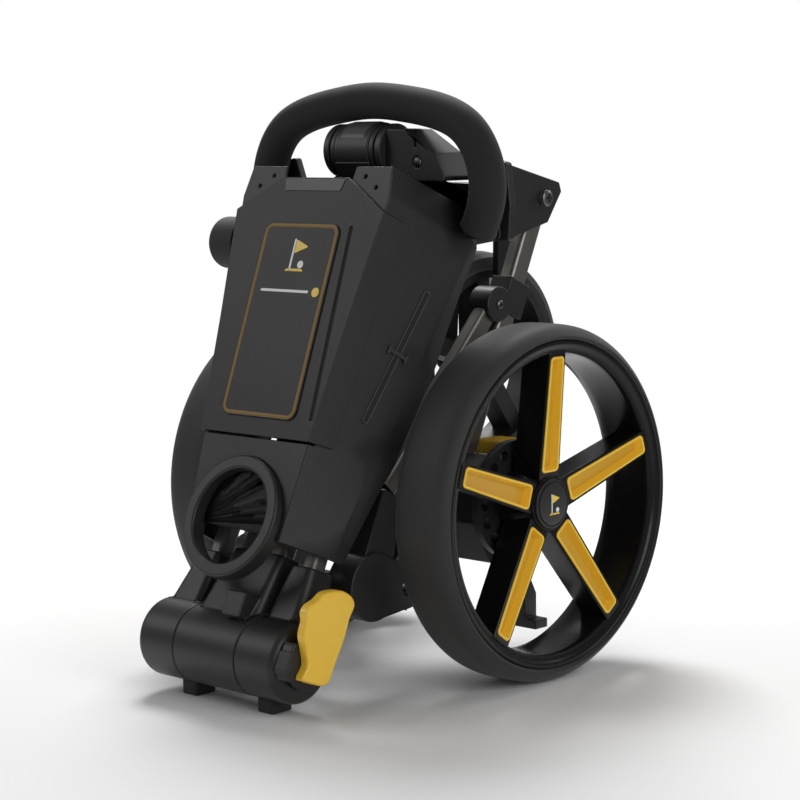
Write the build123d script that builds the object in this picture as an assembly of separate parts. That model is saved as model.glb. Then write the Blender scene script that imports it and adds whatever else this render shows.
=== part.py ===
"""Compact three-wheeled push trolley for a golf bag, folded and standing on its two hinge feet
and its two rear wheels. Millimetres, +Z up, +Y backwards (the console faces -Y), +X to the right."""
import math
import os

from build123d import *

# ---- driving dimensions -------------------------------------------------------------------------
HINGE_Y = -178.7             # world place of the main hinge barrel's axis, which lies along X
HINGE_Z = 43.0
LEAN = 25.0                  # the folded masts lean back by this angle about the barrel

REAR_Y = HINGE_Y + 217.0     # rear axle
REAR_R = 146.0
REAR_IN = 104.0              # inner face of a rear tyre, measured from the middle
REAR_OUT = 160.0
RIM_R = 134.0
RIM_BORE_R = 122.0
SPOKES = 5
HUB_R = 26.0
AXLE_R = 6.0
RUN = 0.05                   # radial clearance of a running fit

FRONT_R = 96.0
FRONT_Y = HINGE_Y + 294.0
FRONT_Z = 247.0
FRONT_HALF = 22.0

BARREL_R = 32.0
BARREL_HALF = 79.3
BARREL_SEAM = 35.2
PIN_R = 7.0
GAP = 0.4                    # between neighbouring faces of different bodies

FORK_X = 53.0                # lower mast tubes
FORK_W, FORK_D = 14.0, 16.0
FORK_Y = 8.0
FORK_TOP = 372.0
SPINE_W, SPINE_D = 50.0, 16.0    # upper mast tube
SPINE_TOP = 388.0
RAIL_X = 60.0                # chassis tubes
RAIL_W, RAIL_D = 16.0, 20.0
RAIL_Y = 131.0
TUBE_WALL = 1.8

PIVOT_Y, PIVOT_Z = 126.0, 441.0  # cross shaft that joins chassis, lower mast and front fork (mast frame)
PIVOT_R = 6.0
PLATE_IN, PLATE_OUT = 69.0, 73.0

KNUCKLE_Y, KNUCKLE_Z = -15.0, 422.0  # handle pivot (mast frame)
HUB_BLOCK_R = 23.0
HUB_BLOCK_HALF = 19.0
DISC_R = 22.0

GRIP_R = 15.0
CORE_R = 10.0
WALL = 3.0

CONSOLE_FRONT = -50.0        # the console's front wall where it crosses FRONT_TURN_Z (mast frame)
FRONT_TURN_Z = 250.0
FRONT_TILT = 4.5             # the front wall leans forward of the masts by this angle

parts = {}


# ---- helpers ------------------------------------------------------------------------------------
def mast(shape):
    """From the mast frame (origin on the barrel axis, z up the mast) to the trolley's frame."""
    return Pos(0, HINGE_Y, HINGE_Z) * Rot(-LEAN, 0, 0) * shape


def mast_point(y, z):
    lean = math.radians(LEAN)
    return (HINGE_Y + y * math.cos(lean) + z * math.sin(lean),
            HINGE_Z + z * math.cos(lean) - y * math.sin(lean))


def fronted(shape):
    """From a frame whose y is CONSOLE_FRONT on the console's tilted front wall to the mast frame."""
    return Pos(0, CONSOLE_FRONT, FRONT_TURN_Z) * Rot(FRONT_TILT, 0, 0) * Pos(0, -CONSOLE_FRONT, -FRONT_TURN_Z) * shape


def rod(radius, x0, x1, y=0.0, z=0.0):
    """Cylinder along X."""
    return Pos((x0 + x1) / 2, y, z) * Rot(0, 90, 0) * Cylinder(radius, x1 - x0)


def block(x0, x1, y0, y1, z0, z1):
    return Pos((x0 + x1) / 2, (y0 + y1) / 2, (z0 + z1) / 2) * Box(x1 - x0, y1 - y0, z1 - z0)


def side_plate(points, x0, x1, rounding=0.0):
    """Outline in Y and Z, given thickness along X."""
    face = Polygon(*points, align=None)
    if rounding:
        face = fillet(face.vertices(), rounding)
    return Pos(x0, 0, 0) * extrude(Plane.YZ * face, amount=x1 - x0, dir=(1, 0, 0))


def front_plate(points, y0, y1, rounding=0.0):
    """Outline in X and Z, given thickness along Y."""
    face = Polygon(*points, align=None)
    if rounding:
        face = fillet(face.vertices(), rounding)
    return Pos(0, y1, 0) * extrude(Plane.XZ * face, amount=y1 - y0, dir=(0, -1, 0))


def box_tube(width, depth, start, end, x, corner=4.0, wall=TUBE_WALL):
    """Rounded box tube between two (y, z) points at one x; its depth lies across the run."""
    run_y, run_z = end[0] - start[0], end[1] - start[1]
    length = math.hypot(run_y, run_z)
    tilt = -math.degrees(math.atan2(run_y, run_z))
    outer = RectangleRounded(width, depth, corner)
    inner = RectangleRounded(width - 2 * wall, depth - 2 * wall, corner - wall)
    return Pos(x, start[0], start[1]) * Rot(tilt, 0, 0) * extrude(outer - inner, amount=length)


def mirrored(shape):
    return mirror(shape, about=Plane.YZ)


def both_sides(name, shape):
    """The right-hand piece and its mirror image as two nodes."""
    parts[name + "_right"] = shape
    parts[name + "_left"] = mirrored(shape)


def pair_node(name, shape):
    """The right-hand piece and its mirror image as two solids of one node."""
    parts[name] = Compound(children=[shape, mirrored(shape)])


def ring_about_x(profile, y, z):
    """Turn an (x, radius) outline about an axis along X."""
    turned = revolve(Polygon(*profile, align=None), axis=Axis.X)
    return Pos(0, y, z) * turned


def cross_screw(head_r=4.2, head_h=2.2, shank_r=2.0, shank=9.0):
    """Pan head screw, head on +Z, with a cross recess."""
    head = Cylinder(head_r, head_h, align=(Align.CENTER, Align.CENTER, Align.MIN))
    head = fillet(head.edges().sort_by(Axis.Z)[-1], head_h * 0.45)
    recess = Box(head_r, 0.9, head_h) + Box(0.9, head_r, head_h)
    stem = Cylinder(shank_r, shank, align=(Align.CENTER, Align.CENTER, Align.MAX))
    return head + stem - Pos(0, 0, head_h) * recess


# ---- rear wheels --------------------------------------------------------------------------------
def rear_tyre():
    shoulder, crown = 137.0, 144.6
    profile = [(REAR_IN + 3, RIM_R), (REAR_IN, shoulder), (REAR_IN + 4, 142), (REAR_IN + 12, crown),
               ((REAR_IN + REAR_OUT) / 2, REAR_R), (REAR_OUT - 12, crown), (REAR_OUT - 4, 142),
               (REAR_OUT, shoulder), (REAR_OUT - 3, RIM_R)]
    return ring_about_x(profile, REAR_Y, REAR_R)


SPOKE_FOOT_X, SPOKE_TIP_X = 146.0, 156.0    # the spoke's face stands further out at the rim


def rear_spoke():
    """One spoke: a deep box that widens outwards and dishes in towards the hub."""
    foot, tip = HUB_R - 4, RIM_BORE_R + 4
    flank = side_plate([(-12.6, foot), (12.6, foot), (10.4, tip), (-10.4, tip)], 118, 160)
    face = Polygon((120, foot), (SPOKE_FOOT_X, foot), (SPOKE_TIP_X, tip), (126, tip), align=None)
    return flank & Pos(0, 20, 0) * extrude(Plane.XZ * face, amount=40)


def rear_rim():
    barrel = [(REAR_IN + 3, RIM_BORE_R + 6), (REAR_IN + 3, RIM_R), (REAR_OUT - 3, RIM_R),
              (REAR_OUT - 3, RIM_BORE_R + 6), (REAR_OUT - 8, RIM_BORE_R), (REAR_IN + 10, RIM_BORE_R + 3)]
    rim = revolve(Polygon(*barrel, align=None), axis=Axis.X)
    spoke = rear_spoke()
    for turn in range(SPOKES):
        rim += Rot(360 / SPOKES * turn, 0, 0) * spoke
    rim += rod(HUB_R, 112, 150)
    rim -= rod(14.0, 112, 120) + rod(14.0, 142, 150) + rod(8.0, 100, 152)
    return Pos(0, REAR_Y, REAR_R) * rim


def spoke_inlays():
    """Coloured pocket strips that lie in the faces of the spokes."""
    foot = HUB_R - 4
    slope = math.degrees(math.atan2(SPOKE_TIP_X - SPOKE_FOOT_X, RIM_BORE_R + 4 - foot))
    outline = Polygon((-10, 27), (10, 27), (8, 120), (-8, 120), align=None)
    pocket = offset(outline, -2.6)
    strip = extrude(outline, amount=2.4) - Pos(0, 0, 1.0) * extrude(pocket, amount=2.4)
    strip = Plane.YZ * strip
    seated = Pos(SPOKE_FOOT_X, 0, foot) * Rot(0, slope, 0) * Pos(0, 0, -foot) * strip
    return [Pos(0, REAR_Y, REAR_R) * Rot(360 / SPOKES * turn, 0, 0) * seated for turn in range(SPOKES)]


def bearing_pair(x_places, y, z, outer=14.0, inner=AXLE_R + RUN, width=8.0):
    pair = []
    for x in x_places:
        pair.append(rod(outer, x, x + width, y, z) - rod(inner, x - 1, x + width + 1, y, z))
    return pair


def brake_ring():
    """Notched ring on the inner end of the hub: sixteen holes take the parking pin."""
    ring = rod(49, 105, 112) - rod(27.5, 104, 113)
    for turn in range(16):
        ring -= Rot(360 / 16 * turn, 0, 0) * rod(4.8, 104, 113, 0, 40)
    ring += rod(27.5, 108, 112) - rod(16, 107, 113)
    return Pos(0, REAR_Y, REAR_R) * ring


def hub_cap():
    cap = fillet(rod(23, 150, 156).edges().sort_by(Axis.X)[-1], 2.5)
    cap -= rod(16, 155, 157) - rod(15, 155, 157)
    return Pos(0, REAR_Y, REAR_R) * cap


both_sides("rear_tyre", rear_tyre())
both_sides("rear_rim", rear_rim())
both_sides("spoke_inlays", Compound(children=spoke_inlays()))
both_sides("rear_bearings", Compound(children=bearing_pair((112, 142), REAR_Y, REAR_R)))
both_sides("brake_ring", brake_ring())
both_sides("hub_cap", hub_cap())


# ---- chassis ------------------------------------------------------------------------------------
def axle_block():
    """Cast end block of the rear axle; the rail ends in it and the parking pin slides through it."""
    y = REAR_Y
    body = side_plate([(y - 36, 128), (y - 30, 172), (y - 12, 182), (y + 14, 172), (y + 24, 150),
                       (y + 18, 122), (y + 8, 92), (y - 14, 92)], 48, 96, 4)
    body -= rod(AXLE_R, 40, 100, y, REAR_R)
    body -= rod(4.05, 40, 100, y, REAR_R - 40)
    return body - rail_solid(175, 470)


def rail_solid(z0, z1):
    """The space that a rail fills between two heights up the mast."""
    start, end = mast_point(RAIL_Y, z0), mast_point(RAIL_Y, z1)
    run = math.hypot(end[0] - start[0], end[1] - start[1])
    return Pos(RAIL_X, start[0], start[1]) * Rot(-LEAN, 0, 0) * extrude(
        RectangleRounded(RAIL_W, RAIL_D, 4), amount=run)


def rail():
    tube = box_tube(RAIL_W, RAIL_D, mast_point(RAIL_Y, 175), mast_point(RAIL_Y, 452), RAIL_X)
    return tube - rod(PIVOT_R, 40, 80, *mast_point(PIVOT_Y, PIVOT_Z))


def clamp_collar():
    """Collar on the rail with two ears that hold the top of the brace."""
    y, z = mast_point(RAIL_Y, 352)
    body = Pos(RAIL_X, y, z) * Rot(-LEAN, 0, 0) * Box(RAIL_W + 6, RAIL_D + 6, 30)
    body += rod(15, RAIL_X - 11, RAIL_X + 11, *brace_top())
    body = body - rail_solid(300, 400)
    return body - brace_solid() - rod(2.6, RAIL_X + 4, RAIL_X + 12, *brace_top())


def brace_top():
    y, z = mast_point(RAIL_Y, 352)
    return y - 22, z - 4


BRACE_FOOT = (HINGE_Y + 113, 163)


def brace_solid():
    top = brace_top()
    run_y, run_z = BRACE_FOOT[0] - top[0], BRACE_FOOT[1] - top[1]
    tilt = -math.degrees(math.atan2(run_y, run_z))
    return Pos(RAIL_X, top[0], top[1]) * Rot(tilt, 0, 0) * extrude(
        RectangleRounded(14, 18, 4), amount=math.hypot(run_y, run_z))


def rest_housing():
    """Two-lobed housing at the foot of a brace; it carries the lower bag rest."""
    y, z = HINGE_Y + 88, 88
    body = rod(28, RAIL_X - 14, RAIL_X + 14, y, z) + rod(18, RAIL_X - 14, RAIL_X + 14, y + 38, z - 6)
    body += side_plate([(y + 3, z + 27.8), (y - 3, z - 27.8), (y + 36, z - 23.9), (y + 40, z + 11.9)],
                       RAIL_X - 14, RAIL_X + 14)
    socket = side_plate([(y - 16, z + 10), (y + 14, z + 78), (y + 34, z + 66), (y + 20, z)],
                        RAIL_X - 11, RAIL_X + 11, 3)
    body += socket
    body -= rod(6.5, RAIL_X + 9, RAIL_X + 15, y + 38, z - 6) + rod(2.0, RAIL_X + 4, RAIL_X + 10, y + 38, z - 6)
    body -= rod(7.0, RAIL_X - 15, RAIL_X + 6, y, z)
    return body - brace_solid()


def axle_tube():
    """Spacer tube between the two axle blocks."""
    return rod(13, -48, 48, REAR_Y, REAR_R) - rod(AXLE_R, -49, 49, REAR_Y, REAR_R)


def stand_plate():
    """Bent plate behind the axle block that the trolley rests on when it is tipped back."""
    y = REAR_Y
    leg = side_plate([(y + 14, 124), (y + 22, 136), (y + 66, 52), (y + 66, 24), (y + 50, 24), (y + 50, 50)],
                     70, 78, 3)
    return leg + block(66, 90, y + 50, y + 66, 24, 32) - axle_block()


pair_node("axle_blocks", axle_block())
pair_node("chassis_rails", rail())
pair_node("rail_clamps", clamp_collar())
pair_node("brace_tubes", box_tube(14, 18, brace_top(), BRACE_FOOT, RAIL_X))
pair_node("rest_housings", rest_housing())
parts["axle_tube"] = axle_tube()
parts["axle_shaft"] = rod(AXLE_R, -149, 149, REAR_Y, REAR_R)
parts["bag_rest_tube"] = rod(7.0, -RAIL_X - 6, RAIL_X + 6, HINGE_Y + 88, 88)
parts["pivot_shaft"] = rod(PIVOT_R, -78, 78, *mast_point(PIVOT_Y, PIVOT_Z))
parts["stand_plate"] = stand_plate()

chassis_screws = []
for side in (-1, 1):
    for x, spot, head in ((RAIL_X + 11, brace_top(), 4.2), (RAIL_X + 9, (HINGE_Y + 126, 82), 4.2),
                          (78, mast_point(PIVOT_Y, PIVOT_Z), 7.0)):
        screw = Pos(side * x, *spot) * Rot(0, side * 90, 0) * cross_screw(head, shank=4.0)
        chassis_screws.append(screw)
        if head > 5:
            parts["pivot_shaft"] = parts["pivot_shaft"] - screw
parts["chassis_screws"] = Compound(children=chassis_screws)


# ---- parking brake ------------------------------------------------------------------------------
PEDAL_Y, PEDAL_Z = REAR_Y + 17, 184


def brake_pedal():
    pad = side_plate([(PEDAL_Y - 6, PEDAL_Z - 6), (PEDAL_Y - 6, PEDAL_Z + 6), (PEDAL_Y + 34, PEDAL_Z + 4),
                      (PEDAL_Y + 36, PEDAL_Z - 4), (PEDAL_Y + 6, PEDAL_Z - 7)], 54, 90, 2.5)
    for groove in range(4):
        pad -= block(56, 88, PEDAL_Y + 9 + 6 * groove, PEDAL_Y + 11.5 + 6 * groove, PEDAL_Z + 4, PEDAL_Z + 8)
    return pad - rod(2.5 + RUN, 50, 94, PEDAL_Y, PEDAL_Z)


def pedal_hinge():
    """Two ears on the axle block with the pedal's pin between them."""
    ears = None
    for x0 in (47, 91):
        ear = side_plate([(PEDAL_Y - 16, 160), (PEDAL_Y - 7, PEDAL_Z + 5), (PEDAL_Y + 4, PEDAL_Z + 5),
                          (PEDAL_Y + 6, 160)], x0, x0 + 4.0, 2)
        ears = ear if ears is None else ears + ear
    return ears - axle_block() - rod(2.5, 40, 100, PEDAL_Y, PEDAL_Z)


parts["brake_pedal"] = brake_pedal()
parts["pedal_bracket"] = pedal_hinge()
parts["pedal_pin"] = rod(2.5, 47, 97, PEDAL_Y, PEDAL_Z)
both_sides("brake_pin", rod(4.0, 62, 102, REAR_Y, REAR_R - 40))


# ---- front wheel and its fork -------------------------------------------------------------------
def front_tyre():
    profile = [(-FRONT_HALF + 3, 80), (-FRONT_HALF, 84), (-FRONT_HALF + 3, 91), (-12, 94.6), (0, FRONT_R),
               (12, 94.6), (FRONT_HALF - 3, 91), (FRONT_HALF, 84), (FRONT_HALF - 3, 80)]
    return ring_about_x(profile, FRONT_Y, FRONT_Z)


def front_rim():
    rim = revolve(Polygon((-19, 73), (-19, 80), (19, 80), (19, 73), align=None), axis=Axis.X)
    spoke = block(-11, 11, -8, 8, 14, 76)
    for turn in range(SPOKES):
        rim += Rot(360 / SPOKES * turn, 0, 0) * spoke
    rim += rod(20, -17, 17)
    rim -= rod(11, -17, -10) + rod(11, 10, 17) + rod(7, -20, 20)
    return Pos(0, FRONT_Y, FRONT_Z) * rim


def front_fork():
    """Yoke: two flat arms from a sleeve on the cross shaft down to the wheel's axle."""
    top_y, top_z = mast_point(PIVOT_Y, PIVOT_Z)
    fork = rod(13, -46, 46, top_y, top_z)
    for x0 in (-34, 28):
        arm = side_plate([(top_y - 13, top_z), (top_y + 13, top_z), (FRONT_Y + 9, FRONT_Z),
                          (FRONT_Y - 9, FRONT_Z)], x0, x0 + 6)
        arm += rod(12, x0, x0 + 6, FRONT_Y, FRONT_Z)
        fork += arm
    fork -= rod(PIVOT_R + RUN, -50, 50, top_y, top_z)
    return fork - rod(5, -50, 50, FRONT_Y, FRONT_Z)


parts["front_tyre"] = front_tyre()
parts["front_rim"] = front_rim()
parts["front_bearings"] = Compound(children=bearing_pair((-17, 10), FRONT_Y, FRONT_Z, 11, 5 + RUN, 7))
parts["front_fork"] = front_fork()
front_bolt = rod(5, -36, 36, FRONT_Y, FRONT_Z)
front_bolt += rod(8, -40, -34, FRONT_Y, FRONT_Z) + rod(8, 34, 40, FRONT_Y, FRONT_Z)
parts["front_axle_bolt"] = front_bolt


# ---- lower mast: outer hinge knuckles, tubes and side plates -------------------------------------
def outer_barrel():
    body = fillet(rod(BARREL_R, BARREL_SEAM + GAP / 2, BARREL_HALF).edges().sort_by(Axis.X)[-1], 7)
    arm = loft([Pos(57, 2, 10) * RectangleRounded(40, 40, 8),
                Pos(FORK_X, FORK_Y, 74) * RectangleRounded(FORK_W + 10, FORK_D + 12, 6)])
    body += arm
    body -= rod(PIN_R, 30, 90)
    core = Pos(FORK_X, FORK_Y, 40) * extrude(RectangleRounded(FORK_W, FORK_D, 4), amount=60)
    return body - core


def fork_tube():
    outer = RectangleRounded(FORK_W, FORK_D, 4)
    inner = RectangleRounded(FORK_W - 2 * TUBE_WALL, FORK_D - 2 * TUBE_WALL, 4 - TUBE_WALL)
    return Pos(FORK_X, FORK_Y, 40) * extrude(outer - inner, amount=FORK_TOP - 40)


def hinge_plate():
    """Flat plate from the top of a lower mast tube back to the cross shaft."""
    outline = [(0, 330), (16, 330), (52, 366), (103, 395), (141, 425), (147, 456), (141, 462), (73, 449),
               (36, 398), (0, 376)]
    plate = side_plate(outline, PLATE_IN, PLATE_OUT, 2.5)
    plate += rod(9, FORK_X + FORK_W / 2, PLATE_IN, FORK_Y, 345) + rod(9, FORK_X + FORK_W / 2, PLATE_IN, FORK_Y, 362)
    plate -= rod(PIVOT_R + RUN, 60, 80, PIVOT_Y, PIVOT_Z)
    return plate - rod(2.0, 60, 80, FORK_Y, 345) - rod(2.0, 60, 80, FORK_Y, 362)


def feet():
    """Rubber feet under the barrel; their soles lie on the floor."""
    pair = []
    for side in (-1, 1):
        foot = block(side * 44 - 9, side * 44 + 9, HINGE_Y - 8, HINGE_Y + 14, 0, 24)
        foot = fillet(foot.edges().filter_by(Axis.Z), 3)
        cutter = Pos(0, HINGE_Y, HINGE_Z) * rod(BARREL_R, -100, 100)
        pair.append(foot - cutter)
    return Compound(children=pair)


def plate_screws():
    heads = []
    for side in (-1, 1):
        for z in (345, 362):
            screw = Pos(side * PLATE_OUT, FORK_Y, z) * Rot(0, side * 90, 0) * cross_screw(shank=10)
            heads.append(mast(screw))
    return Compound(children=heads)


both_sides("hinge_barrel", mast(outer_barrel()))
pair_node("fork_tubes", mast(fork_tube() - rod(2.0, 60, 80, FORK_Y, 345) - rod(2.0, 60, 80, FORK_Y, 362)))
pair_node("hinge_plates", mast(hinge_plate()))
parts["hinge_feet"] = feet()
parts["hinge_pin"] = mast(rod(PIN_R, -77, 77))
D_CAP_Y, D_CAP_Z, D_CAP_R = -18.0, -4.0, 13.0
LEVER_IN, LEVER_OUT = 93.0, 101.0
LEVER_HUB_R = 14.0


def right_cap():
    """End cap with the lever's stub and a D-shaped boss in front of it."""
    boss = rod(D_CAP_R, BARREL_HALF, LEVER_IN - GAP, D_CAP_Y, D_CAP_Z)
    boss -= block(70, 100, -40, D_CAP_Y - 11, -30, 30)
    boss -= rod(LEVER_HUB_R + 0.5, 84, 100)
    return rod(20, BARREL_HALF, 84) + rod(11, 84, LEVER_OUT - 2) + boss


parts["barrel_caps"] = Compound(children=[mast(right_cap()), mast(rod(20, -83, -BARREL_HALF))])
parts["plate_screws"] = plate_screws()


# ---- latch lever --------------------------------------------------------------------------------
def latch_lever():
    outline = [(-20, -14), (-24, 6), (-30, 12), (-31, 26), (-35, 36), (-26, 49), (-5, 61), (8, 62), (17, 54),
               (16, 43), (17, -6), (6, -13)]
    lever = side_plate(outline, LEVER_IN, LEVER_OUT, 2.5) + rod(LEVER_HUB_R, 84.4, LEVER_IN)
    return lever - rod(11 + RUN, 80, LEVER_OUT - 1.6)


parts["latch_lever"] = mast(latch_lever())


# ---- upper mast: middle knuckle, spine tube, handle hub ------------------------------------------
def middle_barrel():
    half = BARREL_SEAM - GAP / 2
    body = rod(BARREL_R, -half, half)
    body += loft([Pos(0, 2, 16) * RectangleRounded(68, 48, 8),
                  Pos(0, FORK_Y, 80) * RectangleRounded(SPINE_W + 6, SPINE_D + 10, 6)])
    body += block(8, 28, -31, -10, 22, 42)
    body -= rod(PIN_R + RUN, -40, 40)
    return body - Pos(0, FORK_Y, 42) * extrude(RectangleRounded(SPINE_W, SPINE_D, 6), amount=60)


def spine_tube():
    outer = RectangleRounded(SPINE_W, SPINE_D, 6)
    inner = RectangleRounded(SPINE_W - 2 * TUBE_WALL, SPINE_D - 2 * TUBE_WALL, 6 - TUBE_WALL)
    return Pos(0, FORK_Y, 42) * extrude(outer - inner, amount=SPINE_TOP - 42)


def handle_hub():
    """Hub that the handle tilts on: a plug in the spine's top and a drum forward of it."""
    half = HUB_BLOCK_HALF
    hub = rod(HUB_BLOCK_R, -half, half, KNUCKLE_Y, KNUCKLE_Z)
    hub += side_plate([(-1, SPINE_TOP), (FORK_Y + 9, SPINE_TOP), (FORK_Y + 2, 428), (-30, 404)], -half, half)
    plug = RectangleRounded(SPINE_W - 2 * TUBE_WALL, SPINE_D - 2 * TUBE_WALL, 6 - TUBE_WALL)
    hub += Pos(0, FORK_Y, SPINE_TOP - 30) * extrude(plug, amount=31)
    return hub - rod(5.0 + RUN, -30, 30, KNUCKLE_Y, KNUCKLE_Z)


parts["hinge_barrel_middle"] = mast(middle_barrel())
parts["spine_tube"] = mast(spine_tube())
parts["handle_hub"] = mast(handle_hub())


# ---- console ------------------------------------------------------------------------------------
CONSOLE_STATIONS = [
    # height, half width in front, side corner (x, y), rear corner (x, y)
    (84.0, 53.0, (70.0, 9.0), (67.0, 24.0)),
    (176.0, 61.0, (78.0, 16.0), (73.0, 42.0)),
    (260.0, 70.0, (87.0, 24.0), (80.0, 50.0)),
    (362.0, 83.0, (97.0, 32.0), (87.0, 54.0)),
    (388.0, 79.0, (88.0, 22.0), (84.0, 44.0)),
]


def console_section(z, half, side, rear, grow, front_grow, back):
    """Outline of the console at one height; grow moves the side walls out and front_grow the front."""
    y_front = CONSOLE_FRONT - front_grow - (z - FRONT_TURN_Z) * math.tan(math.radians(FRONT_TILT))
    right = [(half + grow * 0.8, y_front), (side[0] + grow, side[1]), (rear[0] + grow, rear[1] + back)]
    left = [(-x, y) for x, y in reversed(right)]
    return Plane.XY.offset(z) * Polygon(*(right + left), align=None)


def console_body(grow, back=0.0, z_grow=0.0):
    """Solid inside the console's outline; back moves its open rear and z_grow its two ends."""
    faces = []
    last = len(CONSOLE_STATIONS) - 1
    for index, (z, half, side, rear) in enumerate(CONSOLE_STATIONS):
        z_shift = -z_grow if index == 0 else z_grow if index == last else 0.0
        faces.append(console_section(z + z_shift, half, side, rear, grow, grow, back))
    return loft(faces, ruled=True)


DOCK_Y, DOCK_Z, DOCK_END = -20.0, 335.0, -132.0
DOCK_R, DOCK_STEM_R = 22.0, 5.5
LID_BOTTOM, LID_TOP = 163.5, 378.0
LID_PIVOT_Y, LID_PIVOT_Z = CONSOLE_FRONT - 0.2, 166.0    # in the tilted front frame
LID_PIN_R = 0.8
LID_KNUCKLE_R, LID_KNUCKLE_X = 2.2, 26.0
LID_BOSS_R, LID_BOSS_X = 1.5, 45.0
LID_IN, LID_OUT = 0.5, 2.8                               # the lid's skin, measured out from the shell
RING_Y = -46.5
RING_Z = 97.0
RING_R, RING_BORE_R = 50.0, 39.0


def ring_disc(radius, y0, y1):
    return Pos(0, (y0 + y1) / 2, RING_Z) * Rot(90, 0, 0) * Cylinder(radius, y1 - y0)


def console_shell():
    """Front cover: a three-sided tapered channel with a window for the tray and a mouth for the hoop."""
    shell = console_body(0) - console_body(-WALL, back=20.0, z_grow=1.0)
    shell -= ring_disc(RING_R, -70, -10)
    window = [(-46, 196), (46, 196), (58, 340), (-58, 340)]
    cuts = front_plate(window, -62, -40, 6)
    cuts += front_plate([(-37, 370), (37, 370), (41, 400), (-41, 400)], -62, -40)
    cuts += block(-70, 70, -56, -44, LID_PIVOT_Z - 3.8, LID_PIVOT_Z + 4)
    for side in (-1, 1):
        for x, z in ((52, 380), (66, 371)):
            cuts += Pos(side * x, CONSOLE_FRONT, z) * Rot(90, 0, 0) * Cylinder(1.6, 12)
    shell -= fronted(cuts)
    for side in (-1, 1):
        x = side * LID_BOSS_X
        boss = rod(LID_BOSS_R, x - 4, x + 4, LID_PIVOT_Y, LID_PIVOT_Z)
        boss += block(x - 4, x + 4, LID_PIVOT_Y, CONSOLE_FRONT + WALL, LID_PIVOT_Z, LID_PIVOT_Z + 5)
        shell += fronted(boss)
    shell -= fronted(rod(LID_PIN_R, -55, 55, LID_PIVOT_Y, LID_PIVOT_Z))
    return shell - rod(DOCK_STEM_R, -130, -60, DOCK_Y, DOCK_Z)


def storage_tray():
    """Open box behind the lid, screwed to the spine through two bosses."""
    tray = fronted(front_plate([(-50, 188), (50, 188), (62, 348), (-62, 348)], -46.6, -9, 6))
    for z in (230, 310):
        tray += block(-10, 10, -30, 0, z - 10, z + 10)
    return tray - fronted(front_plate([(-46, 192), (46, 192), (58, 344), (-58, 344)], -50, -12, 5))


def lid_panel():
    """Lid shell that wraps the console's front and 20 mm of its sides."""
    skin = console_body(LID_OUT) - console_body(LID_IN, z_grow=1.0)
    region = front_plate([(-110, LID_BOTTOM), (110, LID_BOTTOM), (110, 326), (89, 347), (37, LID_TOP),
                          (-37, LID_TOP), (-89, 347), (-110, 326)], -62, -30)
    lid = skin & fronted(region)
    for side in (-1, 1):
        x = side * LID_KNUCKLE_X
        lid += fronted(rod(LID_KNUCKLE_R, x - 7, x + 7, LID_PIVOT_Y, LID_PIVOT_Z))
        x = side * LID_BOSS_X
        lid -= fronted(block(x - 4.4, x + 4.4, CONSOLE_FRONT - 2.0, -40, LID_BOTTOM - 1, LID_PIVOT_Z + 6))
    return lid - fronted(rod(LID_PIN_R + RUN, -45, 45, LID_PIVOT_Y, LID_PIVOT_Z))


def lid_pad():
    """Raised rounded-rectangle pad on the lid."""
    face = CONSOLE_FRONT - LID_OUT
    return fronted(front_plate([(-42, 178), (42, 178), (42, 339), (-42, 339)], face - 1.6, face, 9))


parts["console_shell"] = mast(console_shell())
parts["storage_tray"] = mast(storage_tray())
parts["lid"] = mast(lid_panel())
parts["lid_pad"] = mast(lid_pad())
parts["lid_hinge_pin"] = mast(fronted(rod(LID_PIN_R, -49, 49, LID_PIVOT_Y, LID_PIVOT_Z)))
parts["drinks_hoop"] = mast(ring_disc(RING_R, RING_Y, RING_Y + 15) - ring_disc(RING_BORE_R, RING_Y - 1, RING_Y + 16))

dock = rod(DOCK_R, DOCK_END, DOCK_END + 30, DOCK_Y, DOCK_Z)
dock = fillet(dock.edges().sort_by(Axis.X)[0], 5)
parts["dock_knob"] = mast(dock)
parts["dock_stem"] = mast(rod(DOCK_STEM_R, DOCK_END + 30, -80, DOCK_Y, DOCK_Z))


# ---- handle -------------------------------------------------------------------------------------
KNUCKLE = mast_point(KNUCKLE_Y, KNUCKLE_Z)
HANDLE_Y = KNUCKLE[0] + 5
HANDLE_POINTS = [(113, 368), (121, 386), (124, 405), (119, 427), (103, 449), (76, 462), (40, 469), (0, 472.5)]


def handle_path():
    right = [(x, HANDLE_Y, z) for x, z in HANDLE_POINTS]
    left = [(-x, y, z) for x, y, z in reversed(right[:-1])]
    return Spline(*(right + left))


def swept(radius, hollow=0.0):
    path = handle_path()
    section = Circle(radius) - Circle(hollow) if hollow else Circle(radius)
    plane = Plane(origin=path @ 0, z_dir=path % 0)
    return sweep(plane * section, path=path)


def handle_link():
    """Right-hand plate that runs behind the grip from the tilt disc to a cup at the loop's end."""
    y, z = KNUCKLE
    back = y + 28
    link = front_plate([(20.5, z - 8), (32, z - 8), (46, z - 25), (100, z - 27), (108, z - 6), (130, z - 10),
                        (134, z - 44), (132, z - 72), (106, z - 72), (102, z - 41), (40, z - 38)],
                       HANDLE_Y + GRIP_R + 0.4, back, 3)
    cup = block(103, 123, HANDLE_Y - 9, back, z - 70, z - 60)
    cup = fillet(cup.edges().filter_by(Axis.Z), 4)
    web = block(20, 32, y, back, z - 20, z - 8)
    return link + cup + web - swept(GRIP_R) - rod(DISC_R, 10, 32, *KNUCKLE)


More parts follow.
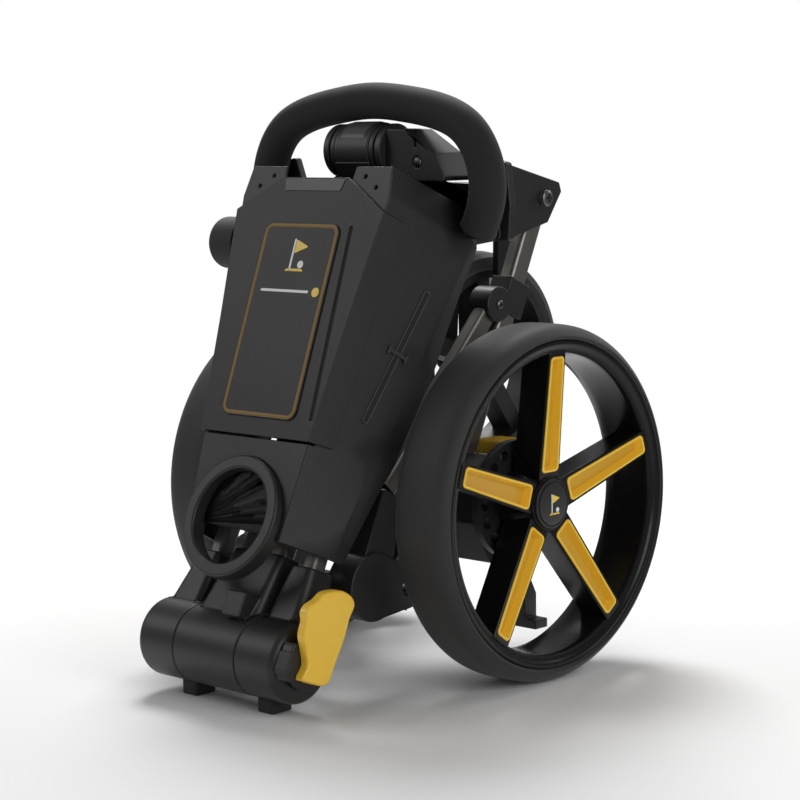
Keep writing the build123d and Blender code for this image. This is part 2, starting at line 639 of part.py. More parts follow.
def lock_housing():
    """Housing of the handle's tilt lock, on the right-hand side only."""
    y, z = KNUCKLE
    outline = [(32, z - 24), (32, z + 18), (52, z + 17), (84, z - 2), (97, z - 24)]
    housing = front_plate(outline, y - 14, HANDLE_Y + GRIP_R + 0.4, 3)
    screw_seat = Pos(66, y - 14, z - 9) * Rot(90, 0, 0) * Cylinder(4.6, 3)
    slot = block(62, 65, y - 15, y - 11, z + 3, z + 9)
    return housing - screw_seat - slot - swept(GRIP_R)


parts["handle_core"] = swept(CORE_R)
parts["handle_grip"] = swept(GRIP_R, CORE_R)
pair_node("handle_links", handle_link())
parts["lock_housing"] = lock_housing()
disc = rod(DISC_R, HUB_BLOCK_HALF + GAP, 32, *KNUCKLE)
disc = disc - rod(DISC_R + 1, 24, 26, *KNUCKLE) + rod(DISC_R - 3, 24, 26, *KNUCKLE)
pair_node("tilt_discs", disc - rod(5, 0, 40, *KNUCKLE))
parts["tilt_pin"] = rod(5, -32, 32, *KNUCKLE)

os.makedirs("parts", exist_ok=True)
for node, shape in parts.items():
    export_step(shape, f"parts/{node}.step")
    box = shape.bounding_box()
    print(f"{node:22s} {box.min.X:7.1f} {box.min.Y:7.1f} {box.min.Z:7.1f} {box.max.X:7.1f} {box.max.Y:7.1f} {box.max.Z:7.1f}")
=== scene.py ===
import math
import bmesh
import bpy
from mathutils import Matrix, Vector


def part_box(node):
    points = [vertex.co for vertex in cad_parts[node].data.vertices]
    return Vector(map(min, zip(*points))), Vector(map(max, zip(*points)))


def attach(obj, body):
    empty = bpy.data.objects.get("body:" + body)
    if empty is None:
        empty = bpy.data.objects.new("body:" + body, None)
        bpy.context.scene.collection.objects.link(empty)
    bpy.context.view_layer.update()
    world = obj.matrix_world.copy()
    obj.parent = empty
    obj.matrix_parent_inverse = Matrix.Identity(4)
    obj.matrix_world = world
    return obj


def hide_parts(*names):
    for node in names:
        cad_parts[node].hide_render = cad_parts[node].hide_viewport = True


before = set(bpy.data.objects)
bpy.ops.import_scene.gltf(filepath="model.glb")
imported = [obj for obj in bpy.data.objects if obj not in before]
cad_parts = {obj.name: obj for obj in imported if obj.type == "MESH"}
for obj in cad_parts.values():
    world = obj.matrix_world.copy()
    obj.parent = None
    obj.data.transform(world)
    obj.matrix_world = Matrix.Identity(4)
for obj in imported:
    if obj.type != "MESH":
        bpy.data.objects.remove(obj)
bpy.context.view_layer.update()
print("frame loaded:", len(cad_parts), "nodes")


def centreOf(node):
    low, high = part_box(node)
    return (low + high) / 2


mm = 0.001
lean = math.radians(25.0)  # the folded masts lean back by this much
axle = centreOf("axle_shaft")
hinge = centreOf("hinge_pin")
knuckle = centreOf("tilt_pin")
mast = Matrix.Translation(hinge) @ Matrix.Rotation(-lean, 4, "X")
console = {"face": -50.0, "turnHeight": 250.0, "tilt": math.radians(4.5), "lidFace": -52.8,
           "padFace": -54.4}
frontTurn = Vector((0, console["face"], console["turnHeight"])) * mm
front = mast @ Matrix.Translation(frontTurn) @ Matrix.Rotation(console["tilt"], 4, "X") @ Matrix.Translation(
    -frontTurn)

# the studio

studio = {
    "cameraPlace": (1.2604, -1.3289, 0.4507),
    "heading": 43.076, "drop": 7.078, "roll": -0.765,  # degrees
    "lens": 98.9,
    "floorSize": 8.0, "floorColour": (0.86, 0.86, 0.86),
    "roomLight": 0.2, "roomLook": 1.0,
    "fadeFrom": 0.42, "fadeTo": 1.15,  # where the floor runs out into white
}


def placeCamera():
    heading, drop, roll = (math.radians(studio[k]) for k in ("heading", "drop", "roll"))
    ahead = Vector((-math.sin(heading) * math.cos(drop), math.cos(heading) * math.cos(drop), -math.sin(drop)))
    right = Vector((math.cos(heading), math.sin(heading), 0))
    up = right.cross(ahead)
    rightTurned = right * math.cos(roll) + up * math.sin(roll)
    upTurned = up * math.cos(roll) - right * math.sin(roll)
    data = bpy.data.cameras.new("studioCamera")
    data.lens = studio["lens"]
    data.sensor_width = 36
    data.clip_start, data.clip_end = 0.05, 50
    camera = bpy.data.objects.new("studioCamera", data)
    bpy.context.scene.collection.objects.link(camera)
    camera.matrix_world = Matrix.Translation(studio["cameraPlace"]) @ Matrix(
        (rightTurned, upTurned, -ahead)).transposed().to_4x4()
    bpy.context.scene.camera = camera


softboxes = {
    # name: place, aimed at, width, height, watts
    "keyLeft": ((-1.5, -1.5, 1.5), (0, 0, 0.25), 1.1, 1.1, 11),
    "topSheet": ((-0.9, 0.9, 2.0), (0, 0, 0.2), 1.0, 1.0, 50),
    "sideRight": ((2.0, -0.4, 0.9), (0.1, 0, 0.2), 1.2, 1.4, 17),
    "backRim": ((0.6, 2.0, 1.4), (0, 0, 0.3), 1.4, 0.8, 8),
}


def hangLights():
    for name, (place, aim, width, height, watts) in softboxes.items():
        data = bpy.data.lights.new(name, "AREA")
        data.shape = "RECTANGLE"
        data.size, data.size_y = width, height
        data.energy = watts
        lamp = bpy.data.objects.new(name, data)
        lamp.location = place
        lamp.rotation_euler = (Vector(aim) - Vector(place)).to_track_quat("-Z", "Y").to_euler()
        bpy.context.scene.collection.objects.link(lamp)
    # the room looks white, and lights the trolley less than it looks
    world = bpy.data.worlds.new("paleRoom")
    world.use_nodes = True
    sky = world.node_tree.nodes["Background"]
    sky.inputs["Color"].default_value = (1, 1, 1, 1)
    seen = world.node_tree.nodes.new("ShaderNodeLightPath")
    level = world.node_tree.nodes.new("ShaderNodeMapRange")
    level.inputs["To Min"].default_value = studio["roomLight"]
    level.inputs["To Max"].default_value = studio["roomLook"]
    world.node_tree.links.new(seen.outputs["Is Camera Ray"], level.inputs["Value"])
    world.node_tree.links.new(level.outputs["Result"], sky.inputs["Strength"])
    bpy.context.scene.world = world
    bpy.context.scene.view_settings.view_transform = "Standard"


placeCamera()
hangLights()
print("studio ready")


# finishes: one small class does sums on sockets, the other builds a material

class Wire:
    def __init__(self, finish, output):
        self.finish = finish
        self.output = output

    def sum(self, operation, first, second):
        made = self.finish.node("ShaderNodeMath", {"operation": operation}, {0: first, 1: second})
        return made["Value"]

    def __add__(self, other):
        return self.sum("ADD", self, other)

    def __radd__(self, other):
        return self.sum("ADD", other, self)

    def __sub__(self, other):
        return self.sum("SUBTRACT", self, other)

    def __rsub__(self, other):
        return self.sum("SUBTRACT", other, self)

    def __mul__(self, other):
        return self.sum("MULTIPLY", self, other)

    def __rmul__(self, other):
        return self.sum("MULTIPLY", other, self)


class Made:
    def __init__(self, finish, node):
        self.finish = finish
        self.node = node

    def __getitem__(self, name):
        return Wire(self.finish, self.node.outputs[name])


class Finish:
    def __init__(self, name):
        self.material = bpy.data.materials.new(name)
        self.material.use_nodes = True
        self.tree = self.material.node_tree
        self.tree.nodes.clear()
        self.surface = self.node("ShaderNodeBsdfPrincipled").node
        self.node("ShaderNodeOutputMaterial", {}, {"Surface": Wire(self, self.surface.outputs["BSDF"])})
        self.place = self.node("ShaderNodeTexCoord")["Object"]

    def node(self, kind, settings=None, sockets=None):
        node = self.tree.nodes.new(kind)
        for key, value in (settings or {}).items():
            setattr(node, key, value)
        for key, value in (sockets or {}).items():
            if isinstance(value, Wire):
                self.tree.links.new(value.output, node.inputs[key])
            else:
                node.inputs[key].default_value = value
        return Made(self, node)

    def set(self, **values):
        for key, value in values.items():
            socket = self.surface.inputs[key.replace("_", " ")]
            if isinstance(value, Wire):
                self.tree.links.new(value.output, socket)
            else:
                socket.default_value = value
        return self

    def noise(self, scale, detail=2.0, roughness=0.5, place=None):
        made = self.node("ShaderNodeTexNoise", {}, {"Vector": place or self.place, "Scale": scale,
                                                   "Detail": detail, "Roughness": roughness})
        return made["Fac"]

    def mapped(self, turn=(0, 0, 0), scale=(1, 1, 1), shift=(0, 0, 0)):
        made = self.node("ShaderNodeMapping", {}, {"Vector": self.place, "Location": shift,
                                                  "Rotation": turn, "Scale": scale})
        return made["Vector"]

    def blend(self, share, first, second):
        made = self.node("ShaderNodeMix", {"data_type": "RGBA"}, {0: share, 6: first, 7: second})
        return Wire(self, made.node.outputs[2])

    def bump(self, height, strength, distance, under=None):
        sockets = {"Height": height, "Strength": strength, "Distance": distance}
        if under is not None:
            sockets["Normal"] = under
        return self.node("ShaderNodeBump", {}, sockets)["Normal"]


def shade(colour, factor):
    return (colour[0] * factor, colour[1] * factor, colour[2] * factor, 1.0)


# a moulded plastic: fine spark grain, slow cloudy variation of colour and gloss, faint scuffs
def mouldedPlastic(name, colour, roughness, grain=2600.0, depth=0.05, coat=0.0, scuffs=0.5, ior=1.48):
    made = Finish(name)
    cloud = made.noise(9.0, 3.0)
    speck = made.noise(grain, 1.0)
    scuff = made.noise(120.0, 6.0, 0.65, made.mapped(turn=(0.4, 0.2, 0.7), scale=(1.0, 0.35, 1.4)))
    rubbed = (scuff - 0.58) * 3.0 * scuffs
    worn = rubbed.sum("MAXIMUM", rubbed, 0.0)
    made.set(
        Base_Color=made.blend(cloud * 0.6 + speck * 0.4, shade(colour, 0.9), shade(colour, 1.1)),
        Roughness=roughness - 0.04 + cloud * 0.08 + worn * 0.25,
        Normal=made.bump(made.noise(grain, 3.0, 0.6), 0.35, depth * mm, made.bump(scuff, 0.08, 0.1 * mm)),
        Coat_Weight=coat, Coat_Roughness=0.12, IOR=ior)
    return made.material


def yellowPlastic(name, colour, roughness):
    made = Finish(name)
    cloud = made.noise(14.0, 3.0)
    grain = made.noise(1900.0, 2.0)
    made.set(Base_Color=made.blend(cloud, shade(colour, 0.93), shade(colour, 1.06)),
             Roughness=roughness + (cloud - 0.5) * 0.12, Coat_Weight=0.15, Coat_Roughness=0.2,
             Normal=made.bump(grain, 0.25, 0.04 * mm))
    return made.material


# drawn and anodised tube: long faint draw lines along the tube
def drawnAluminium(name, colour, roughness, turn):
    made = Finish(name)
    lines = made.noise(700.0, 4.0, 0.6, made.mapped(turn=turn, scale=(1.0, 1.0, 0.012)))
    cloud = made.noise(11.0, 2.0)
    made.set(Base_Color=made.blend(lines * 0.5 + cloud * 0.5, shade(colour, 0.86), shade(colour, 1.12)),
             Metallic=0.85, Roughness=roughness + (lines - 0.5) * 0.22,
             Normal=made.bump(lines, 0.22, 0.03 * mm))
    return made.material


def turnedSteel(name, colour, roughness):
    made = Finish(name)
    rings = made.noise(900.0, 3.0, 0.6, made.mapped(scale=(1.0, 0.1, 0.1)))
    cloud = made.noise(60.0, 2.0)
    made.set(Base_Color=made.blend(cloud, shade(colour, 0.82), shade(colour, 1.12)), Metallic=1.0,
             Roughness=roughness + (rings - 0.5) * 0.25, Normal=made.bump(rings, 0.2, 0.02 * mm))
    return made.material


# closed-cell foam: two sizes of cell in the skin
def foamSkin(name, colour):
    made = Finish(name)
    cells = made.node("ShaderNodeTexVoronoi", {"feature": "SMOOTH_F1"},
                      {"Vector": made.place, "Scale": 900.0, "Smoothness": 0.6})["Distance"]
    fine = made.noise(2400.0, 3.0, 0.6)
    cloud = made.noise(16.0, 3.0)
    made.set(Base_Color=made.blend(cloud * 0.5 + fine * 0.5, shade(colour, 0.84), shade(colour, 1.14)),
             Roughness=0.86 + (cloud - 0.5) * 0.12, Sheen_Weight=0.08, Sheen_Roughness=0.5,
             Normal=made.bump(cells * 0.7 + fine * 0.5, 0.35, 0.14 * mm))
    return made.material


# tyre rubber: matte, with a dusting of grit worn into the tread
def tyreRubber(name, colour, roughness, grit):
    made = Finish(name)
    fine = made.noise(1500.0, 4.0, 0.65)
    cloud = made.noise(13.0, 4.0, 0.6)
    dust = made.noise(260.0, 5.0, 0.7)
    made.set(Base_Color=made.blend(cloud * 0.7 + dust * 0.3 * grit, shade(colour, 0.9), shade(colour, 1.12)),
             Roughness=roughness + (cloud - 0.5) * 0.1, Sheen_Weight=0.12,
             Normal=made.bump(fine, 0.3, 0.08 * mm, made.bump(dust, 0.12, 0.12 * mm)))
    return made.material


def satinPaint(name, colour, metallic, roughness):
    made = Finish(name)
    flake = made.noise(3000.0, 1.0)
    cloud = made.noise(20.0, 2.0)
    made.set(Base_Color=made.blend(flake * 0.6 + cloud * 0.4, shade(colour, 0.84), shade(colour, 1.16)),
             Metallic=metallic, Roughness=roughness + (flake - 0.5) * 0.1,
             Normal=made.bump(flake, 0.15, 0.02 * mm))
    return made.material


greys = {"console": (0.0150, 0.0148, 0.0146), "moulded": (0.0150, 0.0147, 0.0145),
         "gloss": (0.006, 0.006, 0.006), "tyre": (0.018, 0.018, 0.0175),
         "foam": (0.0110, 0.0110, 0.0110), "rubber": (0.016, 0.016, 0.016)}
finishes = {
    "console": mouldedPlastic("consolePlastic", greys["console"], 0.46),
    "lid": mouldedPlastic("lidPlastic", shade(greys["console"], 0.85), 0.5),
    "moulded": mouldedPlastic("mouldedPlastic", greys["moulded"], 0.44, grain=2000.0),
    # painted shadow: near-black for the floors of the lid groove and the side channels
    "groove": mouldedPlastic("grooveShadowPlastic", (0.005, 0.005, 0.005), 0.7),
    "gloss": mouldedPlastic("glossBlack", greys["gloss"], 0.26, grain=900.0, depth=0.02, coat=0.08,
                            scuffs=0.2, ior=1.3),
    "yellow": yellowPlastic("warmYellow", (0.92, 0.57, 0.045), 0.36),
    "spokeYellow": yellowPlastic("spokeYellow", (0.93, 0.58, 0.045), 0.34),
    # painted shade: a darker copy of the spoke yellow for the pocket floors
    "paintedShadeYellow": yellowPlastic("paintedShadeYellow", (0.62, 0.36, 0.022), 0.42),
    "rail": drawnAluminium("drawnRail", (0.21, 0.20, 0.185), 0.36, (lean, 0, 0)),
    "tube": drawnAluminium("drawnTube", (0.15, 0.145, 0.14), 0.5, (lean, 0, 0)),
    "steel": turnedSteel("turnedSteel", (0.42, 0.42, 0.42), 0.34),
    "screw": turnedSteel("screwSteel", (0.16, 0.16, 0.16), 0.36),
    "foam": foamSkin("foamSkin", greys["foam"]),
    "tyre": tyreRubber("tyreRubber", greys["tyre"], 0.66, 1.0),
    "rubber": tyreRubber("mountRubber", greys["rubber"], 0.72, 0.4),
    "bronze": satinPaint("bronzeBead", (0.22, 0.135, 0.035), 0.1, 0.5),
    "tab": mouldedPlastic("fingerTabPlastic", (0.045, 0.045, 0.05), 0.4),
    "paleCap": mouldedPlastic("paleCapPlastic", (0.06, 0.06, 0.062), 0.42),
    "white": satinPaint("badgeWhite", (0.80, 0.80, 0.79), 0.0, 0.4),
    "badgeYellow": satinPaint("badgeYellow", (0.86, 0.58, 0.07), 0.0, 0.4),
}
print("finishes ready:", len(finishes))


# mesh helpers

def addObject(name, mesh, finish):
    piece = bpy.data.objects.new(name, mesh)
    bpy.context.scene.collection.objects.link(piece)
    if finish:
        mesh.materials.clear()
        mesh.materials.append(finishes[finish])
    return piece


def baked(piece):
    # modifiers become plain mesh
    graph = bpy.context.evaluated_depsgraph_get()
    mesh = bpy.data.meshes.new_from_object(piece.evaluated_get(graph))
    piece.modifiers.clear()
    old = piece.data
    piece.data = mesh
    bpy.data.meshes.remove(old)
    return piece


def smoothed(piece, sharp=35.0):
    mesh = piece.data
    mesh.shade_smooth()
    mesh.set_sharp_from_angle(angle=math.radians(sharp))
    weighted = piece.modifiers.new("evenNormals", "WEIGHTED_NORMAL")
    weighted.keep_sharp = True
    return baked(piece)


def rounded(piece, width, segments=3, angle=32.0, sharp=40.0):
    bevel = piece.modifiers.new("softEdge", "BEVEL")
    bevel.width = width * mm
    bevel.segments = segments
    bevel.limit_method = "ANGLE"
    bevel.angle_limit = math.radians(angle)
    bevel.use_clamp_overlap = False
    bevel.miter_outer = "MITER_ARC"
    bevel.harden_normals = False
    return smoothed(baked(piece), sharp)


def mergedCopy(node):
    work = bmesh.new()
    work.from_mesh(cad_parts[node].data)
    bmesh.ops.remove_doubles(work, verts=work.verts, dist=0.01 * mm)
    bmesh.ops.dissolve_limit(work, angle_limit=math.radians(1.0), verts=work.verts, edges=work.edges,
                             use_dissolve_boundaries=False)
    mesh = bpy.data.meshes.new(node + "Mesh")
    work.to_mesh(mesh)
    work.free()
    return mesh


def finished(piece, body, slot, *replaced):
    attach(piece, body)
    if replaced:
        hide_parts(*replaced)
    return piece


def carved(piece, cutters):
    for cutter in cutters:
        carve = piece.modifiers.new("carve", "BOOLEAN")
        carve.operation, carve.solver, carve.object = "DIFFERENCE", "EXACT", cutter
    baked(piece)
    for cutter in cutters:
        bpy.data.objects.remove(cutter)


def softened(node, name, body, slot, finish, width, cutters=(), **how):
    piece = addObject(name, mergedCopy(node), finish)
    if cutters:
        carved(piece, cutters)
    rounded(piece, width, **how)
    return finished(piece, body, slot, node)


def fromBmesh(work, name, finish, place=None):
    bmesh.ops.remove_doubles(work, verts=work.verts, dist=0.001 * mm)
    bmesh.ops.recalc_face_normals(work, faces=work.faces)
    if place is not None:
        bmesh.ops.transform(work, matrix=place, verts=work.verts)
        if place.determinant() < 0:
            bmesh.ops.reverse_faces(work, faces=work.faces)
    mesh = bpy.data.meshes.new(name + "Mesh")
    work.to_mesh(mesh)
    work.free()
    return addObject(name, mesh, finish)


def turned(work, profile, steps=128):
    # spins a closed (x, radius) outline, in millimetres, about the X axis
    rings = []
    for step in range(steps):
        angle = 2 * math.pi * step / steps
        rings.append([work.verts.new((x * mm, -r * mm * math.sin(angle), r * mm * math.cos(angle)))
                      for x, r in profile])
    for step in range(steps):
        here, there = rings[step], rings[(step + 1) % steps]
        for index in range(len(profile)):
            nextIndex = (index + 1) % len(profile)
            corners = [here[index], here[nextIndex], there[nextIndex], there[index]]
            work.faces.new(corners)


def stacked(work, loops):
    # walls between loops of points, with both ends closed
    rows = [[work.verts.new(point) for point in loop] for loop in loops]
    count = len(rows[0])
    for low, high in zip(rows, rows[1:]):
        for index in range(count):
            following = (index + 1) % count
            work.faces.new((low[index], low[following], high[following], high[index]))
    work.faces.new(list(reversed(rows[0])))
    work.faces.new(rows[-1])


def roundedLoop(corners, radius, steps=5):
    # a polygon of (u, v) points with every corner an arc
    loop = []
    count = len(corners)
    for index, corner in enumerate(corners):
        here = Vector(corner)
        before = (Vector(corners[index - 1]) - here).normalized()
        after = (Vector(corners[(index + 1) % count]) - here).normalized()
        half = before.angle(after) / 2
        reach = radius / math.tan(half)
        centre = here + (before + after).normalized() * (radius / math.sin(half))
        start = here + before * reach - centre
        end = here + after * reach - centre
        for step in range(steps + 1):
            share = step / steps
            spoke = (start * (1 - share) + end * share).normalized() * radius
            loop.append(centre + spoke)
    return loop


def ringed(work, loops):
    # a closed tube through loops of points
    rows = [[work.verts.new(point) for point in loop] for loop in loops]
    count = len(rows[0])
    for low, high in zip(rows, rows[1:] + rows[:1]):
        for index in range(count):
            following = (index + 1) % count
            work.faces.new((low[index], low[following], high[following], high[index]))


def flatLoop(corners, radius, depth, steps=6):
    # an (x, z) outline with rounded corners at one depth along y
    return [Vector((u * mm, depth * mm, v * mm)) for u, v in roundedLoop(corners, radius, steps)]


def inset(corners, by):
    # the same outline moved inwards, whichever way its corners turn
    points = [Vector(corner) for corner in corners]
    area = sum(p.x * q.y - q.x * p.y for p, q in zip(points, points[1:] + points[:1]))
    turn = 1 if area > 0 else -1
    moved = []
    for index, here in enumerate(points):
        back = (here - points[index - 1]).normalized()
        ahead = (points[(index + 1) % len(points)] - here).normalized()
        inwards = Vector((-(back + ahead).y, (back + ahead).x)).normalized() * turn
        square = inwards.dot(Vector((-ahead.y, ahead.x)) * turn)
        moved.append(here + inwards * (by / max(square, 0.3)))
    return moved


def platePiece(name, corners, radius, low, high, finish, place, edge=0.3):
    # a thin plate with a softened front edge; its front looks along -y
    work = bmesh.new()
    stacked(work, [flatLoop(corners, radius, high), flatLoop(corners, radius, low + edge),
                   flatLoop(inset(corners, edge * 0.35), max(radius - edge * 0.35, 0.2), low + edge * 0.3),
                   flatLoop(inset(corners, edge), max(radius - edge, 0.2), low)])
    return smoothed(fromBmesh(work, name, finish, place), 50)


def beadPiece(name, corners, radius, width, base, height, finish, place):
    # a rounded bead that runs along an outline
    work = bmesh.new()
    loops = []
    for step in range(7):
        angle = math.pi * step / 6
        across = width / 2 * (1 - math.cos(angle))
        depth = base - height * math.sin(angle)
        loops.append(flatLoop(inset(corners, across), max(radius - across, 0.3), depth, 10))
    ringed(work, loops)
    return smoothed(fromBmesh(work, name, finish, place), 60)


def islandsOf(node):
    # low and high corners of each separate solid in a node
    work = bmesh.new()
    work.from_mesh(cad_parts[node].data)
    bmesh.ops.remove_doubles(work, verts=work.verts, dist=0.01 * mm)
    left, found = set(work.verts), []
    while left:
        queue, group = [left.pop()], []
        while queue:
            vert = queue.pop()
            group.append(vert.co.copy())
            for edge in vert.link_edges:
                other = edge.other_vert(vert)
                if other in left:
                    left.remove(other)
                    queue.append(other)
        low = Vector([min(point[axis] for point in group) for axis in range(3)])
        high = Vector([max(point[axis] for point in group) for axis in range(3)])
        found.append((low, high))
    work.free()
    return sorted(found, key=lambda pair: tuple(pair[0]))


# trees of Geometry Nodes

class Tree:
    def __init__(self, name, inputs):
        self.tree = bpy.data.node_groups.new(name, "GeometryNodeTree")
        self.tree.interface.new_socket("Geometry", in_out="INPUT", socket_type="NodeSocketGeometry")
        self.keys = {}
        for label, kind, value in inputs:
            made = self.tree.interface.new_socket(label, in_out="INPUT", socket_type=kind)
            if value is not None:
                made.default_value = value
            self.keys[label] = made.identifier
        self.tree.interface.new_socket("Geometry", in_out="OUTPUT", socket_type="NodeSocketGeometry")
        self.start = self.node("NodeGroupInput")

    def node(self, kind, settings=None, sockets=None):
        node = self.tree.nodes.new(kind)
        for key, value in (settings or {}).items():
            setattr(node, key, value)
        for key, value in (sockets or {}).items():
            if isinstance(value, bpy.types.NodeSocket):
                self.tree.links.new(value, node.inputs[key])
            else:
                node.inputs[key].default_value = value
        return node

    def close(self, instances):
        # real geometry, in the chosen material
        real = self.node("GeometryNodeRealizeInstances", {}, {"Geometry": instances})
        coloured = self.node("GeometryNodeSetMaterial", {}, {"Geometry": real.outputs[0],
                                                            "Material": self.start.outputs["Material"]})
        self.node("NodeGroupOutput", {}, {"Geometry": coloured.outputs[0]})

    def run(self, piece, **values):
        modifier = piece.modifiers.new(self.tree.name, "NODES")
        modifier.node_group = self.tree
        for label, value in values.items():
            modifier[self.keys[label]] = value
        return baked(piece)


def wheelTree():
    # repeats the modelled arm round the X axis
    tree = Tree("repeatRoundAxle", [("Count", "NodeSocketInt", 5), ("Start", "NodeSocketFloat", 0.0),
                                    ("Material", "NodeSocketMaterial", None)])
    points = tree.node("GeometryNodeMeshLine", {"mode": "OFFSET"},
                       {"Count": tree.start.outputs["Count"], "Offset": (0, 0, 0)})
    index = tree.node("GeometryNodeInputIndex").outputs[0]
    share = tree.node("ShaderNodeMath", {"operation": "DIVIDE"}, {0: index, 1: tree.start.outputs["Count"]})
    turn = tree.node("ShaderNodeMath", {"operation": "MULTIPLY_ADD"},
                     {0: share.outputs[0], 1: 2 * math.pi, 2: tree.start.outputs["Start"]})
    spin = tree.node("ShaderNodeCombineXYZ", {}, {"X": turn.outputs[0]})
    arms = tree.node("GeometryNodeInstanceOnPoints", {}, {
        "Points": points.outputs[0], "Instance": tree.start.outputs["Geometry"], "Rotation": spin.outputs[0]})
    tree.close(arms.outputs[0])
    return tree


def screwTree():
    # a cross-head screw on every point of the mesh, turned to the point's own facing
    tree = Tree("crossHeadScrews", [("Head Radius", "NodeSocketFloat", 0.004),
                                    ("Head Height", "NodeSocketFloat", 0.002),
                                    ("Slot Width", "NodeSocketFloat", 0.0009),
                                    ("Material", "NodeSocketMaterial", None)])
    radius, height = tree.start.outputs["Head Radius"], tree.start.outputs["Head Height"]
    slot = tree.start.outputs["Slot Width"]

    def scaled(socket, factor):
        return tree.node("ShaderNodeMath", {"operation": "MULTIPLY"}, {0: socket, 1: factor}).outputs[0]

    head = tree.node("GeometryNodeMeshUVSphere", {}, {"Segments": 32, "Rings": 16, "Radius": radius})
    flatness = tree.node("ShaderNodeMath", {"operation": "DIVIDE"}, {0: height, 1: radius})
    squash = tree.node("ShaderNodeCombineXYZ", {}, {"X": 1.0, "Y": 1.0, "Z": flatness.outputs[0]})
    dome = tree.node("GeometryNodeTransform", {}, {"Geometry": head.outputs[0], "Scale": squash.outputs[0]})
    cutters = []
    for across in (0, 1):
        size = {"X": scaled(radius, 1.15), "Y": slot, "Z": scaled(height, 1.6)}
        if across:
            size["X"], size["Y"] = size["Y"], size["X"]
        bar = tree.node("GeometryNodeMeshCube", {}, {
            "Size": tree.node("ShaderNodeCombineXYZ", {}, size).outputs[0]})
        lift = tree.node("ShaderNodeCombineXYZ", {}, {"Z": scaled(height, 1.2)})
        cutters.append(tree.node("GeometryNodeTransform", {}, {
            "Geometry": bar.outputs[0], "Translation": lift.outputs[0]}).outputs[0])
    cross = tree.node("GeometryNodeMeshBoolean", {"operation": "UNION"})
    for cutter in cutters:
        tree.tree.links.new(cutter, cross.inputs["Mesh 2"])
    cut = tree.node("GeometryNodeMeshBoolean", {"operation": "DIFFERENCE"},
                    {"Mesh 1": dome.outputs[0], "Mesh 2": cross.outputs[0]})
    facing = tree.node("GeometryNodeInputNamedAttribute", {"data_type": "FLOAT_VECTOR"}, {"Name": "facing"})
    aim = tree.node("FunctionNodeAlignRotationToVector", {"axis": "Z"}, {"Vector": facing.outputs[0]})
    placed = tree.node("GeometryNodeInstanceOnPoints", {}, {
        "Points": tree.start.outputs["Geometry"], "Instance": cut.outputs[0], "Rotation": aim.outputs[0]})
    tree.close(placed.outputs[0])
    return tree


polar = wheelTree()
screws = screwTree()


def screwSet(name, spots, body, finish, radius, height, *replaced):
    # spots: (place, facing) pairs
    mesh = bpy.data.meshes.new(name + "Mesh")
    mesh.from_pydata([tuple(place) for place, facing in spots], [], [])
    attribute = mesh.attributes.new("facing", "FLOAT_VECTOR", "POINT")
    attribute.data.foreach_set("vector", [c for place, facing in spots for c in facing])
    piece = addObject(name, mesh, None)
    screws.run(piece, **{"Head Radius": radius * mm, "Head Height": height * mm,
                         "Slot Width": radius * 0.24 * mm, "Material": finishes[finish]})
    smoothed(piece, 50)
    return finished(piece, body, "steel", *replaced)


# wheels, modelled for the right side about their own axle and mirrored for the left

rearWheel = {
    "inner": 104.0, "outer": 160.0, "radius": 146.0, "rimRadius": 134.0, "bore": 122.0,
    "shoulderDrop": 9.5, "squareness": 5.0,
    "spokes": 5, "hubRadius": 24.0, "capRadius": 20.5, "firstSpoke": 0.0,
    "faceAtHub": 147.0, "faceAtRim": 156.0,
    "hubHalf": 12.6, "rimHalf": 10.4, "border": 2.0, "lipWidth": 2.4, "pocketDepth": 7.5,
}


def tyreProfile(inner, outer, radius, seat, drop, squareness, steps=28):
    middle, half = (inner + outer) / 2, (outer - inner) / 2
    crown = []
    for step in range(steps + 1):
        across = math.sin(math.pi * (step / steps - 0.5))
        crown.append((middle + half * across, radius - drop * abs(across) ** squareness))
    side = radius - drop
    return crown + [(outer - 0.2, side - 0.9), (outer - 1.4, side - 1.3), (outer - 1.6, side - 2.2),
                    (outer - 3.0, seat), (inner + 3.0, seat), (inner + 1.6, side - 2.2),
                    (inner + 1.4, side - 1.3), (inner + 0.2, side - 0.9)]


def rimProfile():
    w = rearWheel
    lip = w["outer"] - 2.2
    return [(w["inner"] + 3, w["bore"] + 4), (w["inner"] + 3, w["rimRadius"]), (lip - 1.2, w["rimRadius"]),
            (lip, w["rimRadius"] - 1.0), (lip + 0.3, w["rimRadius"] - 3.0), (lip - 0.4, w["rimRadius"] - 5.0),
            (lip - 1.6, w["rimRadius"] - 6.2), (lip - 2.4, w["rimRadius"] - 8.0),
            (lip - 2.8, w["bore"] + 1.6),
            (lip - 4.4, w["bore"] + 0.4), (lip - 8.0, w["bore"]), (lip - 24.0, w["bore"] - 0.4),
            (w["inner"] + 16, w["bore"] - 0.2), (w["inner"] + 8, w["bore"] + 1.5)]


def spokeLoop(inset, depth, low, high, corner):
    # a tapered rounded rectangle that lies in the dished face, depth below it
    w = rearWheel
    run = w["bore"] - w["hubRadius"]

    def halfAt(r):
        return w["hubHalf"] + (w["rimHalf"] - w["hubHalf"]) * (r - w["hubRadius"]) / run

    low, high = low + inset, high - inset
    corners = [(-halfAt(low) + inset, low), (halfAt(low) - inset, low),
               (halfAt(high) - inset, high), (-halfAt(high) + inset, high)]
    loop = []
    for across, r in roundedLoop(corners, max(corner - inset * 0.6, 0.6)):
        face = w["faceAtHub"] + (w["faceAtRim"] - w["faceAtHub"]) * (r - w["hubRadius"]) / run
        loop.append(Vector(((face - depth) * mm, across * mm, r * mm)))
    return loop


